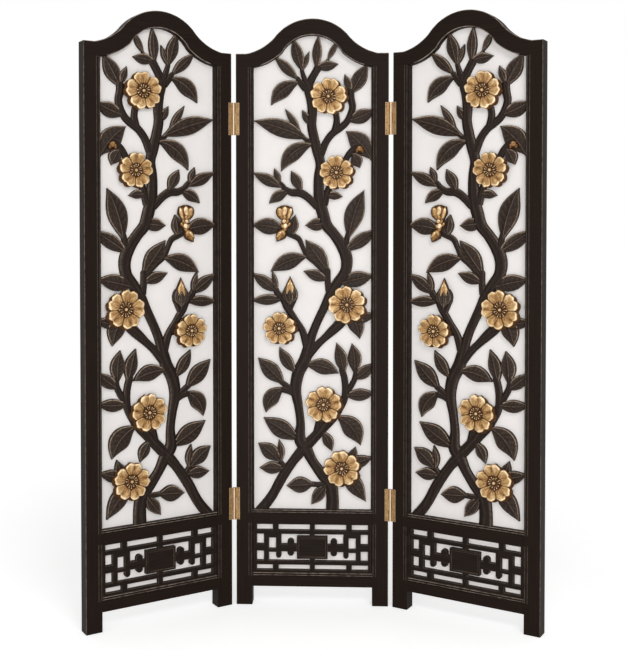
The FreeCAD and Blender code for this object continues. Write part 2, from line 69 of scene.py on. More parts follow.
UPPER_FLOOR = UPPER_SILL + SILL_HEIGHT
CARVING_BACK = 24
CARVING_FRONT = 10
FLOWER_BACK = 14


def panel_frames():
    """Each panel's place in the row, from the joints and the middle panel's stiles."""
    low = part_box("centre_left_stile")[0]
    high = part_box("centre_right_stile")[1]
    middle = Vector(((low.x + high.x) / 2, low.y, 0))
    frames = {"centre": Matrix.Translation(middle)}
    for joint in frame["joints"]:
        pin = Vector(joint["pos_m"])
        fold = -math.radians(joint["range_deg"][0]) * joint["axis"][2]
        own_pin = Vector((middle.x - pin.x, pin.y - middle.y, 0))
        turn = Matrix.Translation(pin) @ Matrix.Rotation(fold, 4, "Z")
        frames[joint["child"].split("_")[0]] = turn @ Matrix.Translation(-own_pin)
    return frames


FRAMES = panel_frames()


class Paint:
    """A node material, put together from nodes whose inputs are values or other nodes' outputs."""

    def __init__(self, name):
        self.material = bpy.data.materials.new(name)
        self.material.use_nodes = True
        self.tree = self.material.node_tree
        self.tree.nodes.clear()

    def add(self, kind, inputs=None, **settings):
        made = self.tree.nodes.new("ShaderNode" + kind)
        for key, value in settings.items():
            setattr(made, key, value)
        for socket, value in (inputs or {}).items():
            if isinstance(value, bpy.types.NodeSocket):
                self.tree.links.new(value, made.inputs[socket])
            else:
                made.inputs[socket].default_value = value
        return made

    def mask(self, name):
        return self.add("Attribute", attribute_name=name).outputs["Fac"]

    def noise(self, vector, scale, detail=5.0, roughness=0.55):
        inputs = {"Vector": vector, "Scale": scale, "Detail": detail, "Roughness": roughness}
        return self.add("TexNoise", inputs).outputs["Fac"]

    def stretched(self, vector, scale):
        return self.add("Mapping", {"Vector": vector, "Scale": scale}).outputs["Vector"]

    def ramp(self, value, stops):
        made = self.add("ValToRGB", {"Fac": value})
        elements = made.color_ramp.elements
        while len(elements) < len(stops):
            elements.new(0.5)
        for element, (place, colour) in zip(elements, stops):
            element.position = place
            element.color = (*colour, 1)
        return made.outputs["Color"]

    def span(self, value, low, high, out_low, out_high):
        made = self.add("MapRange", {"Value": value, "From Min": low, "From Max": high,
                                     "To Min": out_low, "To Max": out_high})
        return made.outputs["Result"]

    def joined(self, operation, one, other):
        """A sum or product of two numbers, kept within 0 to 1."""
        return self.add("Math", {0: one, 1: other}, operation=operation, use_clamp=True).outputs[0]

    def bump(self, height, strength, distance):
        made = self.add("Bump", {"Height": height, "Strength": strength, "Distance": distance})
        return made.outputs["Normal"]

    def surface(self, **inputs):
        shader = self.add("BsdfPrincipled", {key.replace("_", " "): value for key, value in inputs.items()})
        output = self.add("OutputMaterial")
        self.tree.links.new(shader.outputs["BSDF"], output.inputs["Surface"])
        return self.material


# Places of a Mix node's two colour inputs and its colour output, after its number and vector ones
MIX_COLOURS = (6, 7)
MIX_RESULT = 2


def mixed(paint, share, first, second):
    """Mix two colours, each a value or another node's output."""
    made = paint.add("Mix", {0: share}, data_type="RGBA")
    for place, colour in zip(MIX_COLOURS, (first, second)):
        if isinstance(colour, bpy.types.NodeSocket):
            paint.tree.links.new(colour, made.inputs[place])
        else:
            made.inputs[place].default_value = (*colour, 1)
    return made.outputs[MIX_RESULT]


GRAIN_STRETCH = (260, 260, 7)


def wood(name, dark, light, worn_and_lit, shine, gloss, patchy=60.0):
    """Stained wood with its grain along the third grain direction, paler where the mask says: from handling,
    and as painted highlights on edges and rims.
    """
    paint = Paint(name)
    grain = paint.add("Attribute", attribute_name="grain").outputs["Vector"]
    streaks = paint.noise(paint.stretched(grain, GRAIN_STRETCH), scale=1.0, detail=7.0, roughness=0.62)
    base = paint.ramp(streaks, ((0.30, dark), (0.74, light)))
    patches = paint.span(paint.noise(grain, patchy), low=0.34, high=0.62, out_low=0.25, out_high=1.0)
    # The paler colour goes where the wood is handled and where a highlight is painted.
    colour = mixed(paint, paint.joined("MULTIPLY", paint.mask("wear_and_highlight"), patches), base, worn_and_lit)
    roughness = paint.span(streaks, low=0.3, high=0.7, out_low=shine, out_high=shine + 0.08)
    return paint.surface(Base_Color=colour, Roughness=roughness, Specular_IOR_Level=gloss,
                         Normal=paint.bump(streaks, strength=0.12, distance=0.0003))


GILT_TONES = (
    (0.0, (0.014, 0.0062, 0.0022)), (0.22, (0.078, 0.031, 0.0095)), (0.5, (0.300, 0.158, 0.057)),
    (0.75, (0.53, 0.345, 0.160)), (1.0, (0.95, 0.78, 0.53)),
)


def gilt(name):
    """Aged gold paint, from brown at crest 0 to pale gold at crest 1: the brown in the hollows is partly
    patina and partly painted shade, and the palest tones are painted highlights.
    """
    paint = Paint(name)
    grain = paint.add("Attribute", attribute_name="grain").outputs["Vector"]
    patches = paint.noise(grain, scale=190.0, detail=6.0, roughness=0.6)
    uneven = paint.span(patches, low=0.3, high=0.7, out_low=-0.12, out_high=0.12)
    colour = paint.ramp(paint.joined("ADD", paint.mask("crest"), uneven), GILT_TONES)
    roughness = paint.span(patches, low=0.3, high=0.7, out_low=0.38, out_high=0.55)
    return paint.surface(Base_Color=colour, Metallic=0.15, Roughness=roughness, Specular_IOR_Level=0.1,
                         Normal=paint.bump(patches, strength=0.3, distance=0.0008))


def brass(name, bright, dull, polish_and_highlight, metal):
    """Aged brass with dull patches, and a paler colour where the mask says: polish from handling at the leaf
    rims, and a painted highlight along the barrel.
    """
    paint = Paint(name)
    place = paint.add("TexCoord").outputs["Object"]
    patches = paint.noise(place, scale=130.0, detail=6.0, roughness=0.65)
    colour = mixed(paint, paint.mask("wear_and_highlight"), paint.ramp(patches, ((0.36, dull), (0.62, bright))), polish_and_highlight)
    roughness = paint.span(patches, low=0.3, high=0.7, out_low=0.62, out_high=0.48)
    return paint.surface(Base_Color=colour, Metallic=metal, Roughness=roughness,
                         Normal=paint.bump(patches, strength=0.2, distance=0.0005))


def board(name, pale, shade):
    """Matt pale board with a faint uneven paint film."""
    paint = Paint(name)
    place = paint.add("TexCoord").outputs["Object"]
    film = paint.noise(place, scale=14.0, detail=6.0, roughness=0.6)
    tooth = paint.noise(place, scale=420.0, detail=4.0)
    colour = paint.ramp(film, ((0.3, shade), (0.7, pale)))
    return paint.surface(Base_Color=colour, Roughness=0.85, Specular_IOR_Level=0.2,
                         Normal=paint.bump(tooth, strength=0.12, distance=0.0004))


ESPRESSO = {"dark": (0.0092, 0.0055, 0.0038), "light": (0.0178, 0.0108, 0.0077)}
# The paler colour given to each wood is for handling and for painted highlights on edges, crests and rims.
FRAME_WOOD = wood("frame_wood", **ESPRESSO, worn_and_lit=(0.28, 0.225, 0.185), shine=0.46, gloss=0.045)
BEAD_WOOD = wood("bead_wood", **ESPRESSO, worn_and_lit=(0.48, 0.385, 0.325), shine=0.44, gloss=0.05, patchy=90.0)
CARVED_WOOD = wood("carved_wood", dark=(0.0130, 0.0078, 0.0058), light=(0.0310, 0.0195, 0.0150),
                   worn_and_lit=(0.60, 0.45, 0.33), shine=0.38, gloss=0.075, patchy=210.0)
STEM_WOOD = wood("stem_wood", dark=(0.0118, 0.0074, 0.0058), light=(0.0255, 0.0168, 0.0134),
                 worn_and_lit=(0.22, 0.160, 0.120), shine=0.42, gloss=0.06, patchy=160.0)
FRETWORK_WOOD = wood("fretwork_wood", dark=(0.0095, 0.0062, 0.0048), light=(0.0200, 0.0135, 0.0105),
                     worn_and_lit=(0.085, 0.060, 0.042), shine=0.42, gloss=0.05)
GILT_WOOD = gilt("gilt_wood")
UPPER_BACKING = board("upper_backing", pale=(0.80, 0.765, 0.742), shade=(0.765, 0.73, 0.707))
# The lower board is painted paler than the upper one to make up for the shade that the fretwork and the lamps
# leave on it: painted light.
LOWER_BACKING_PAINTED_PALER = board("lower_backing", pale=(0.91, 0.865, 0.838), shade=(0.88, 0.835, 0.81))
BRASS = brass("brass", bright=(0.33, 0.192, 0.074), dull=(0.225, 0.124, 0.046),
              polish_and_highlight=(0.72, 0.55, 0.345), metal=0.4)
# The screw heads are painted almost black, for the shade in their countersinks: painted shade.
SHADED_SCREW_BRASS = brass("screw_brass", bright=(0.016, 0.009, 0.005), dull=(0.010, 0.006, 0.004),
                   polish_and_highlight=(0.016, 0.009, 0.005), metal=0.0)


WALL_LIP = 0.7
FOOT_SHADE = 0.6


class Shell:
    """Points of one panel's piece, in panel millimetres, with faces and masks for the paint."""

    def __init__(self):
        self.points = []
        self.faces = []
        self.wear_and_highlight = []
        self.crest = []

    def point(self, x, y, z, wear_and_highlight=0.0, crest=0.0):
        self.points.append((x, y, z))
        self.wear_and_highlight.append(wear_and_highlight)
        self.crest.append(crest)
        return len(self.points) - 1

    def relief(self, rows, back, wall_crest=0.12):
        """A closed carving: rows of front points (x, y, z, rub, crest), with walls down to a back plane."""
        front = [[self.point(*spot) for spot in row] for row in rows]
        last = len(rows) - 1
        across = len(rows[0])
        for this, after in zip(front, front[1:]):
            for a, b, c, d in zip(this, this[1:], after[1:], after):
                self.faces.append((a, b, c, d))
        rim = [(0, j) for j in range(across)]
        rim += [(i, across - 1) for i in range(1, last)]
        rim += [(last, j) for j in reversed(range(across))]
        rim += [(i, 0) for i in reversed(range(1, last))]
        upper = [front[i][j] for i, j in rim]
        # The walls take the wall tone, lower again at the foot: on gilt pieces partly brown sides and partly
        # painted shade.
        edge, foot = [], []
        for i, j in rim:
            x, y, z = rows[i][j][:3]
            edge.append(self.point(x, y + min(WALL_LIP, (back - y) / 2), z, 0.0, wall_crest))
            foot.append(self.point(x, back, z, 0.0, wall_crest * FOOT_SHADE))
        for ring, below in ((upper, edge), (edge, foot)):
            for k in range(len(rim)):
                after = (k + 1) % len(rim)
                self.faces.append((ring[k], below[k], below[after], ring[after]))
        heads, tails = foot[:across], foot[across + last - 1:2 * across + last - 1][::-1]
        rights = [heads[-1]] + foot[across:across + last - 1] + [tails[-1]]
        lefts = [heads[0]] + foot[2 * across + last - 1:][::-1] + [tails[0]]
        for k in range(last):
            self.faces.append((lefts[k], rights[k], rights[k + 1], lefts[k + 1]))

    def ring_stack(self, rings):
        """A tube through rings of points (x, y, z, rub, crest), closed by a face at each end."""
        made = [[self.point(*spot) for spot in ring] for ring in rings]
        count = len(rings[0])
        for this, after in zip(made, made[1:]):
            for k in range(count):
                self.faces.append((this[k], this[(k + 1) % count], after[(k + 1) % count], after[k]))
        self.faces.append(tuple(made[0]))
        self.faces.append(tuple(made[-1]))


CARVED_CREASE = math.radians(48)


def smooth_but_creases(mesh):
    made = bmesh.new()
    made.from_mesh(mesh)
    bmesh.ops.recalc_face_normals(made, faces=made.faces)
    for face in made.faces:
        face.smooth = True
    for edge in made.edges:
        edge.smooth = len(edge.link_faces) == 2 and edge.calc_face_angle(0) < CARVED_CREASE
    made.to_mesh(mesh)
    made.free()


def masks(mesh, grain, wear_and_highlight, crest, worn_and_lit="POINT"):
    """Store what the paint needs: grain directions, places painted paler for handling and as painted
    highlights, and heights.
    """
    mesh.attributes.new("grain", "FLOAT_VECTOR", "POINT").data.foreach_set(
        "vector", [value for spot in grain for value in spot])
    mesh.attributes.new("wear_and_highlight", "FLOAT", worn_and_lit).data.foreach_set("value", wear_and_highlight)
    mesh.attributes.new("crest", "FLOAT", "POINT").data.foreach_set("value", crest)


def finished(piece, panel, material, nodes):
    """Give a piece its paint, its body and the CAD nodes it stands for."""
    piece.data.materials.clear()
    piece.data.materials.append(material)
    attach(piece, BODIES[panel])
    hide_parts(*nodes)


def placed(shell, name, panel, material, nodes, mirrored=False):
    """Make a shell's mesh in its panel's place; the left panel's carving is the mirror image."""
    hand = -1 if mirrored else 1
    local = [Vector((hand * x * MM, y * MM, z * MM)) for x, y, z in shell.points]
    mesh = bpy.data.meshes.new(name)
    mesh.from_pydata([FRAMES[panel] @ spot for spot in local], [], shell.faces)
    mesh.update()
    smooth_but_creases(mesh)
    masks(mesh, local, shell.wear_and_highlight, shell.crest)
    piece = bpy.data.objects.new(name, mesh)
    bpy.context.scene.collection.objects.link(piece)
    finished(piece, panel, material, nodes)


def nowhere(spot):
    return False


def everywhere(spot):
    return True


WELD_METRES = 0.00001
FLAT_ANGLE = 0.01
SHARP_ANGLE = math.radians(30)
EASED_CREASE = math.radians(60)
GRAIN_AXES = {"x": (1, 2, 0), "z": (0, 1, 2)}
EVEN_TONE = 0.5


def eased(node, panel, material, width, along, joint=nowhere, wear_and_highlight_share=everywhere, clamped=True,
          polish_and_highlight=False):
    """A copy of a CAD piece with its edges rounded over, but for those in a joint.

    The rounded edges are painted paler by the share that the given function returns, for handling and as a
    painted edge highlight; on a piece marked for polish and highlight that share holds for all its points."""
    mesh = frame["nodes"][node].data.copy()
    mesh.name = node + "_eased"
    inverse = FRAMES[panel].inverted()
    made = bmesh.new()
    made.from_mesh(mesh)
    bmesh.ops.remove_doubles(made, verts=made.verts, dist=WELD_METRES)
    bmesh.ops.dissolve_limit(made, angle_limit=FLAT_ANGLE, verts=made.verts, edges=made.edges)
    sharp = [edge for edge in made.edges
             if len(edge.link_faces) == 2 and edge.calc_face_angle(0) > SHARP_ANGLE
             and not all(joint(inverse @ vert.co / MM) for vert in edge.verts)]
    rounded = bmesh.ops.bevel(made, geom=sharp, offset=width * MM, segments=2, profile=0.6,
                              affect="EDGES", clamp_overlap=clamped)
    edges = set(rounded["faces"])
    for face in made.faces:
        face.smooth = True
    for edge in made.edges:
        edge.smooth = edge.calc_face_angle(0) < EASED_CREASE
    if polish_and_highlight:
        wear_and_highlight = [wear_and_highlight_share(inverse @ vert.co / MM) for vert in made.verts]
    else:
        wear_and_highlight = [float(face in edges and wear_and_highlight_share(inverse @ face.calc_center_median() / MM)) for face in made.faces]
    made.to_mesh(mesh)
    made.free()
    local = [inverse @ vert.co for vert in mesh.vertices]
    grain = [[spot[axis] for axis in GRAIN_AXES[along]] for spot in local]
    masks(mesh, grain, wear_and_highlight, [EVEN_TONE] * len(local), "POINT" if polish_and_highlight else "FACE")
    piece = bpy.data.objects.new(node + "_eased", mesh)
    bpy.context.scene.collection.objects.link(piece)
    even = piece.modifiers.new("even_normals", "WEIGHTED_NORMAL")
    even.weight = 100
    even.keep_sharp = True
    finished(piece, panel, material, [node])


# Where edges stay sharp in a joint, and where they are painted paler, for handling and as a painted
# highlight, by places on a panel
NEAR = 0.5
SKIN = 0.3
FRONT_BAND = 2.5
SIDE_BAND = 4
STILE_EDGE_SHINE_AND_WEAR = 0.45
CROWN_FOOT = 6
FRET_BAND = 1.5
BARREL_FRONT = 3.2
HIGHLIGHT_HALF = 2.4
RIM_WIDTH = 1
RIM_WEAR = 0.22


def crown_joint(spot):
    return abs(spot.z - RAIL_UNDERSIDE) < NEAR


def stile_joint(spot):
    """The end under the crown, and the mortises and screw holes within the stile's faces."""
    within = STILE_INSIDE + SKIN < abs(spot.x) < PANEL_HALF - SKIN or SKIN < spot.y < FRAME_DEPTH - SKIN
    return spot.z > RAIL_UNDERSIDE - NEAR or within


def rail_end(spot):
    return abs(spot.x) > STILE_INSIDE - NEAR


def beside_barrel(spot):
    """The edges at the fine gaps beside a hinge's barrel."""
    return abs(spot.x) > PANEL_HALF


def outer_front(spot):
    """The front's outer edge, painted paler for handling and as a painted edge highlight, most round the
    crown, but for the crown's foot on the stile.
    """
    if spot.y > FRONT_BAND:
        return 0.0
    if abs(spot.x) > PANEL_HALF - SIDE_BAND:
        return STILE_EDGE_SHINE_AND_WEAR
    return 1.0 if spot.z > RAIL_UNDERSIDE + CROWN_FOOT else 0.0


def fret_front(spot):
    return spot.y < CARVING_FRONT + FRET_BAND


def hinge_highlight(panel):
    """How much paler colour a panel's hinge leaves get: a painted highlight along the barrel's front, and a
    little at the rim from handling.

    The painted highlight on the barrel runs straight through all knuckles as the screen stands at rest."""
    turn = FRAMES["centre"].inverted() @ FRAMES[panel]

    def share(spot):
        if abs(spot.x) < PANEL_HALF - LEAF_REACH + RIM_WIDTH:
            return RIM_WEAR
        seen = turn @ (spot * MM) / MM
        aside = (abs(seen.x) - PIN_REACH) / HIGHLIGHT_HALF
        return max(0.0, 1.0 - aside * aside) if seen.y < -HINGE_OFFSET - BARREL_FRONT else 0.0

    return share


# Frame and hinges: CAD pieces with eased edges, by how far each edge is rounded
STILE_EASE, CROWN_EASE, RAIL_EASE, STRIP_EASE = 1.8, 2.0, 1.4, 0.8
LATTICE_EASE, MEDALLION_EASE = 1.2, 1.5
HINGE_LEAF_EASE, PIN_EASE, SCREW_EASE = 0.35, 0.3, 0.3


def dressed_panel(panel):
    for side in ("left", "right"):
        eased(panel + "_" + side + "_stile", panel, FRAME_WOOD, STILE_EASE, "z",
              stile_joint, outer_front)
    eased(panel + "_top_rail", panel, FRAME_WOOD, CROWN_EASE, "x", crown_joint, outer_front)
    for name in ("mid_rail", "bottom_rail"):
        eased(panel + "_" + name, panel, FRAME_WOOD, RAIL_EASE, "x", rail_end, outer_front)
    eased(panel + "_lattice", panel, FRETWORK_WOOD, LATTICE_EASE, "x",
          wear_and_highlight_share=fret_front, clamped=False)
    eased(panel + "_medallion", panel, FRETWORK_WOOD, MEDALLION_EASE, "x", wear_and_highlight_share=fret_front)
    eased(panel + "_backing_strips", panel, FRAME_WOOD, STRIP_EASE, "z")
    eased(panel + "_hinge_screws", panel, SHADED_SCREW_BRASS, SCREW_EASE, "z")
    for name, material in (("_upper_backing", UPPER_BACKING), ("_lower_backing", LOWER_BACKING_PAINTED_PALER)):
        board_node = frame["nodes"][panel + name]
        board_node.data.materials.clear()
        board_node.data.materials.append(material)


def dressed_hinge(panel, level):
    hinge = panel + "_" + level + "_hinge_"
    for name, holder in (("inner_leaf", "centre"), ("outer_leaf", panel)):
        eased(hinge + name, holder, BRASS, HINGE_LEAF_EASE, "z", beside_barrel,
              hinge_highlight(holder), polish_and_highlight=True)
    eased(hinge + "pin", "centre", BRASS, PIN_EASE, "z", wear_and_highlight_share=nowhere)


for panel in PANELS:
    dressed_panel(panel)
for panel in ("left", "right"):
    for level in ("upper", "lower"):
        dressed_hinge(panel, level)

# Beading: a stick on each side, stepped back towards its opening, a sill with two round beads, and
# two fine reeds on the stile's face beside the opening.
# Each row of a profile is the share of the stick's width, the depth and how much paler it is painted, for
# handling and as a painted highlight on the crests.
BEAD_PROFILE = [
    (0.0, 24.0, 0.0), (0.0, 5.4, 0.0), (0.08, 4.6, 0.6), (0.22, 4.2, 1.0), (0.36, 4.6, 0.6),
    (0.44, 5.6, 0.1), (0.46, 8.6, 0.0), (0.52, 9.2, 0.7), (0.64, 9.6, 1.0), (0.70, 10.6, 0.4),
    (0.72, 14.2, 0.0), (0.80, 14.8, 0.7), (0.94, 15.2, 1.0), (1.0, 16.4, 0.3), (1.0, 24.0, 0.0),
]
SILL_PROFILE = [
    (0.0, 24.0, 0.0), (0.0, 5.2, 0.0), (0.03, 4.5, 0.9), (0.09, 4.2, 1.0), (0.15, 4.6, 0.4),
    (0.24, 6.0, 0.0), (0.50, 6.6, 0.0), (0.74, 6.0, 0.0), (0.83, 5.3, 0.4), (0.89, 5.0, 1.0),
    (0.95, 5.3, 0.9), (1.0, 6.6, 0.1), (1.0, 24.0, 0.0),
]
REED_PROFILE = [
    (0.0, 1.2, 0.0), (0.06, 0.4, 0.0), (0.09, -0.2, 0.1), (0.17, -0.8, 1.0), (0.27, -0.8, 1.0),
    (0.35, -0.2, 0.1), (0.38, 0.4, 0.0), (0.62, 0.4, 0.0), (0.65, -0.2, 0.1), (0.73, -0.8, 1.0),
    (0.83, -0.8, 1.0), (0.91, -0.2, 0.1), (0.94, 0.4, 0.0), (1.0, 1.2, 0.0),
]
SILL_SHINE_AND_WEAR, STICK_SHINE_AND_WEAR, REED_SHINE_AND_WEAR = 1.0, 0.15, 0.22


def bead_stick(shell, profile, start, end, sideways, crest_shine_and_wear):
    """A moulded stick from start to end, its profile running sideways from that line."""
    rings = []
    for x, z in (start, end):
        rings.append([(x + sideways[0] * reach, y, z + sideways[1] * reach, wear_and_highlight * crest_shine_and_wear, EVEN_TONE)
                      for reach, y, wear_and_highlight in profile])
    shell.ring_stack(rings)


beads, reeds = Shell(), Shell()
for base, ceiling in ((UPPER_SILL, RAIL_UNDERSIDE), (LOWER_SILL, MID_RAIL_UNDERSIDE)):
    bead_stick(beads, SILL_PROFILE, (-STILE_INSIDE, base), (STILE_INSIDE, base), (0, SILL_HEIGHT), SILL_SHINE_AND_WEAR)
    for side in (-1, 1):
        edge = side * STILE_INSIDE
        bead_stick(reeds, BEAD_PROFILE, (edge, base + SILL_HEIGHT), (edge, ceiling),
                   (-side * BEAD_WIDTH, 0), STICK_SHINE_AND_WEAR)
        bead_stick(reeds, REED_PROFILE, (edge, base), (edge, ceiling), (side * REED_WIDTH, 0), REED_SHINE_AND_WEAR)

# Carving: each branch is a run of x, height and width
BRANCHES = [
    [(-164, 290, 34), (-127, 339, 30), (-95, 397, 31), (-58, 452, 29), (-26, 490, 34), (8, 526, 32),
     (37, 559, 32), (65, 586, 27), (86, 615, 22), (100, 645, 22), (103, 674, 21), (101, 707, 21),
     (91, 745, 20)],
    [(63, 292, 41), (63, 340, 39), (56, 378, 39), (30, 409, 34), (2, 447, 30), (-18, 485, 36),
     (-39, 519, 37), (-37, 567, 27), (-43, 620, 27), (-52, 676, 34), (-44, 726, 38), (-25, 764, 38),
     (-14, 801, 34), (-3, 839, 28), (13, 881, 26), (39, 936, 27), (58, 979, 29), (80, 1011, 32),
     (103, 1045, 34), (107, 1085, 37), (92, 1125, 36), (68, 1160, 33), (45, 1188, 35), (34, 1221, 37),
     (24, 1259, 36), (20, 1300, 33), (20, 1340, 30), (25, 1380, 30), (16, 1418, 32), (6, 1458, 30),
     (-2, 1500, 29), (0, 1540, 29), (-5, 1580, 28), (-13, 1612, 26), (-4, 1639, 24), (8, 1661, 23),
     (20, 1682, 24)],
    [(103, 659, 16), (122, 688, 18), (134, 715, 17), (136, 745, 15)],
    [(10, 534, 18), (21, 578, 19), (38, 630, 18)],
    [(-14, 779, 26), (15, 814, 23), (40, 838, 23), (63, 860, 29), (93, 890, 32), (113, 930, 31)],
    [(-17, 806, 23), (-26, 844, 23), (-36, 868, 20), (-52, 892, 19), (-67, 914, 21), (-80, 933, 22),
     (-90, 956, 22), (-108, 975, 20), (-116, 992, 18)],
    [(-70, 920, 11), (-56, 973, 29)],
    [(51, 983, 20), (48, 1016, 19), (48, 1055, 18)],
    [(43, 1035, 12), (10, 1068, 12), (-17, 1093, 14), (-31, 1122, 14), (-44, 1147, 17), (-76, 1163, 17),
     (-97, 1184, 12)],
    [(94, 1105, 22), (105, 1135, 19), (113, 1170, 14)],
    [(36, 1251, 25), (46, 1288, 22), (60, 1321, 20), (80, 1354, 18), (99, 1384, 18), (116, 1412, 20),
     (142, 1436, 22)],
    [(16, 1245, 23), (-14, 1275, 24), (-38, 1289, 26), (-63, 1290, 23), (-84, 1301, 18), (-98, 1318, 13),
     (-110, 1330, 8)],
    [(26, 1408, 24), (43, 1448, 22), (63, 1474, 22), (84, 1489, 22), (104, 1506, 21), (117, 1529, 20),
     (125, 1555, 22), (120, 1583, 23), (120, 1610, 21)],
    [(70, 1480, 23), (76, 1513, 20), (70, 1547, 18), (57, 1585, 14)],
    [(-2, 1610, 24), (-22, 1638, 18), (-35, 1676, 12)],
    [(-20, 1612, 24), (-38, 1632, 18), (-49, 1650, 11)],
    [(-44, 659, 16), (-70, 678, 16), (-104, 703, 17)],
    [(-42, 649, 17), (-72, 668, 18), (-98, 676, 20)],
    [(-80, 422, 17), (-97, 442, 16), (-106, 463, 12)],
    [(44, 375, 14), (21, 376, 15), (-6, 377, 15)],
    [(20, 420, 19), (55, 424, 18), (85, 430, 16), (108, 444, 12)],
    [(-42, 866, 20), (-75, 868, 17), (-103, 866, 14)],
    [(9, 1447, 16), (-21, 1455, 13), (-38, 1478, 9)],
    [(16, 1675, 12), (34, 1689, 10), (52, 1704, 8)],
]

# Each leaf runs from its base to its tip, with its width and how far it bows to its left
LEAVES = [
    ((7, 378), (-81, 372), 50, 0), ((46, 380), (-3, 314), 38, 0), ((84, 433), (168, 324), 52, 4),
    ((-84, 428), (-166, 428), 38, 0), ((-99, 446), (-170, 505), 47, -4), ((-99, 440), (-105, 517), 24, -4),
    ((-38, 516), (-153, 586), 57, 1), ((-85, 680), (-145, 601), 50, -15), ((-85, 690), (-170, 774), 51, 0),
    ((-49, 725), (-103, 808), 37, 4), ((-24, 752), (83, 726), 48, 9), ((73, 592), (151, 500), 62, 16),
    ((29, 546), (62, 481), 34, 4), ((103, 439), (135, 497), 31, -6), ((102, 442), (188, 465), 39, -4),
    ((97, 660), (196, 667), 38, -4), ((126, 706), (192, 760), 37, -4), ((132, 721), (123, 820), 44, -5),
    ((100, 718), (75, 822), 40, -3), ((108, 928), (148, 834), 52, 8), ((104, 915), (199, 915), 38, -12),
    ((81, 1005), (192, 1032), 49, 2), ((-84, 959), (-194, 954), 34, 0), ((-102, 977), (-189, 1040), 38, 0),
    ((-111, 975), (-127, 1047), 18, -3), ((54, 1040), (-22, 1144), 54, 0), ((54, 1017), (-28, 1046), 35, 0),
    ((-13, 1091), (-131, 1044), 52, -9), ((96, 1105), (203, 1176), 42, 0),
    ((112, 1142), (162, 1298), 60, 7), ((-82, 1173), (-190, 1190), 52, -4),
    ((-63, 1151), (-53, 1221), 33, 1), ((52, 1196), (-23, 1188), 40, 1), ((-90, 1305), (-186, 1353), 36, 0),
    ((-99, 1316), (-119, 1366), 21, 0), ((-31, 1292), (-66, 1358), 34, 0),
    ((-70, 1294), (-135, 1256), 34, -6), ((38, 1282), (95, 1277), 27, 2), ((6, 1442), (-97, 1356), 50, -20),
    ((-10, 1454), (-183, 1514), 54, -6), ((-34, 1475), (-85, 1551), 22, 0),
    ((-3, 1495), (-32, 1547), 24, 0), ((184, 1390), (104, 1480), 64, -9), ((124, 1414), (148, 1366), 38, 2),
    ((106, 1512), (194, 1548), 44, -4), ((118, 1592), (172, 1688), 46, 0),
    ((123, 1598), (100, 1657), 24, 0), ((8, 1678), (81, 1688), 32, 0), ((14, 1664), (20, 1780), 30, 2),
    ((46, 1698), (79, 1760), 19, 0), ((-31, 1663), (-60, 1770), 38, 0), ((-32, 1666), (-9, 1728), 18, 0),
    ((-40, 1638), (-119, 1714), 32, 0), ((-38, 1634), (-128, 1562), 48, -14),
]

# Each flower has its middle, its radius and the turn of its first petal in degrees
FLOWERS = [
    (38, 628, 58, 84), (95, 428, 58, 100), (111, 940, 60, 106), (-100, 866, 52, 86), (78, 1351, 54, 95),
    (53, 1587, 58, 82),
]

# Buds: a bunch of folded petals, a pointed bud in dark sepals and one opening in a leaf. Each petal
# has its middle, half width, half height, lean, height, tone and, if it has a point, how pointed it is.
BUD_PETALS = [
    (-86, 1229, 27, 22, 0, 4.4, 0.20), (-100, 1227, 13, 19, 12, 6.0, 0.54),
    (-70, 1225, 8, 22, -14, 5.8, 0.68), (-86, 1232, 11, 18, -8, 6.8, 0.76),
    (-96, 1215, 9, 9, 34, 6.6, 0.40), (-86, 1212, 8, 8, -6, 7.0, 0.50), (-76, 1209, 8, 7, -24, 6.4, 0.36),
    (-82, 1191, 14, 19, 0, 4.2, 0.18), (-88, 1201, 10, 7, 12, 5.8, 0.74),
    (-78, 1199, 6, 9, -30, 5.6, 0.42), (-93, 1185, 6, 8, 24, 5.8, 0.50), (-84, 1187, 10, 9, -6, 6.8, 0.92),
    (-72, 1191, 6, 8, -30, 5.4, 0.44), (-86, 1175, 9, 6, 20, 5.4, 0.44),
    (-98, 1157, 17, 23, 148, 5.2, 0.36, 0.8), (-104, 1160, 7, 15, 138, 6.2, 0.66, 0.6),
    (-93, 1157, 6, 14, 160, 6.0, 0.32, 0.5),
    (-69, 986, 20, 44, 0, 5.2, 0.46, 1.0), (-76, 992, 8, 26, -9, 6.0, 0.56, 0.8),
    (-62, 992, 8, 26, 9, 6.2, 0.66, 0.8),
    (146, 1426, 12, 9, 20, 5.6, 0.36), (139, 1420, 8, 8, -10, 6.0, 0.26),
    (154, 1419, 9, 7, 30, 5.2, 0.20),
]
# The sepals are leaves that stand higher than the others
SEPALS = [
    ((-71, 944), (-83, 998), 20, 6), ((-67, 944), (-55, 996), 20, -6), ((-69, 942), (-69, 990), 20, 0),
]
SEPAL_LIFT = 9.0

# The side the light comes from, whose edges get painted highlights, the crest value of dark wood and the
# range of a wave's start
LIT_SIDE = Vector((0.55, 0.83))
DARK_TONE = 0.4
WAVE_RANGE = 6.28


def share_of(seed, turn):
    """A fixed number from 0 to 1 that differs from piece to piece."""
    return math.modf(abs(math.sin(seed * 12.9898 + turn * 78.233) * 43758.5453))[0]


def clamp(value, low=0.0, high=1.0):
    return min(high, max(low, value))


def step(low, high, value):
    """A smooth rise from 0 at low to 1 at high."""
    place = clamp((value - low) / (high - low))
    return place * place * (3 - 2 * place)


def hump(value, middle, spread):
    """1 at the middle, falling away smoothly on both sides."""
    return math.exp(-((value - middle) / spread) ** 2)


